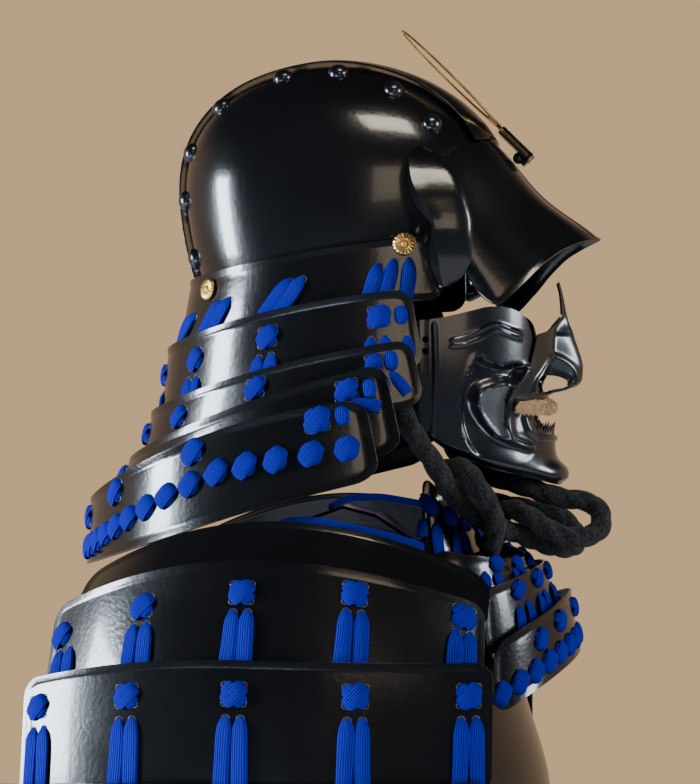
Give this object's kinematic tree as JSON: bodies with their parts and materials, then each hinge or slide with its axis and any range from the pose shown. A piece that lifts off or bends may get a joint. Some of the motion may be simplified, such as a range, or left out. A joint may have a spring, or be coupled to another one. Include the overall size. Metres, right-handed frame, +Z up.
{
  "type": "samurai armour: helmet, face mask with throat guard, cuirass with tassets, two shoulder guards",
  "caption": "Black-lacquered samurai armour with blue silk lacing: helmet with crescent crest, moustached mask, cuirass, tassets, shoulder guards and a knotted chin rope.",
  "frame": {"origin": "midway between the undersides of the two shoulder straps, where the wearer's shoulders carry the armour", "axes": "+Z up, the wearer faces -Y, the wearer's right is -X"},
  "size_m": [0.602, 0.4666, 1.1285],
  "materials": {
    "lacquer": "gloss black lacquer over iron plate, fine orange peel",
    "lacing": "royal blue braided silk",
    "gilt": "polished gilt brass",
    "rope": "black twisted rope with a soft nap",
    "fur": "short tan fur"
  },
  "bodies": {
    "root": {"helmet_side_plate_right": "lacquer", "helmet_side_plate_left": "lacquer", "helmet_centre_plate": "lacquer", "brow_peak": "lacquer", "crest": "gilt", "crest_holder": "lacquer", "neck_guard_lame_1": "lacquer", "neck_guard_lame_2": "lacquer", "neck_guard_lame_3": "lacquer", "neck_guard_lame_4": "lacquer", "neck_guard_lame_5": "lacquer", "neck_lacing_1": "lacing", "neck_lacing_2": "lacing", "neck_lacing_3": "lacing", "neck_lacing_4": "lacing", "rosette_right_1": "gilt", "rosette_left_1": "gilt", "rosette_right_2": "gilt", "rosette_left_2": "gilt", "turn_back_right": "lacquer", "turn_back_left": "lacquer", "mask_shell": "lacquer", "mask_nose": "lacquer", "moustache": "fur", "throat_guard_lame_1": "lacquer", "throat_guard_lame_2": "lacquer", "throat_guard_lame_3": "lacquer", "throat_guard_lame_4": "lacquer", "throat_lacing_1": "lacing", "throat_lacing_2": "lacing", "throat_lacing_3": "lacing", "cuirass_front": "lacquer", "cuirass_back": "lacquer", "shoulder_strap_right": "lacquer", "shoulder_strap_left": "lacquer", "tasset_1": "lacquer", "tasset_2": "lacquer", "tasset_3": "lacquer", "tasset_4": "lacquer", "tasset_5": "lacquer", "tasset_6": "lacquer", "sode_right_plate": "lacquer", "sode_left_plate": "lacquer", "sode_right_lame_1": "lacquer", "sode_left_lame_1": "lacquer", "sode_right_lame_2": "lacquer", "sode_left_lame_2": "lacquer", "sode_right_lame_3": "lacquer", "sode_left_lame_3": "lacquer", "sode_right_lame_4": "lacquer", "sode_left_lame_4": "lacquer", "sode_right_lacing_1": "lacing", "sode_left_lacing_1": "lacing", "sode_right_lacing_2": "lacing", "sode_left_lacing_2": "lacing", "sode_right_lacing_3": "lacing", "sode_left_lacing_3": "lacing", "sode_right_hanger": "lacing", "sode_left_hanger": "lacing", "chin_cord": "rope"}
  },
  "joints": []
}
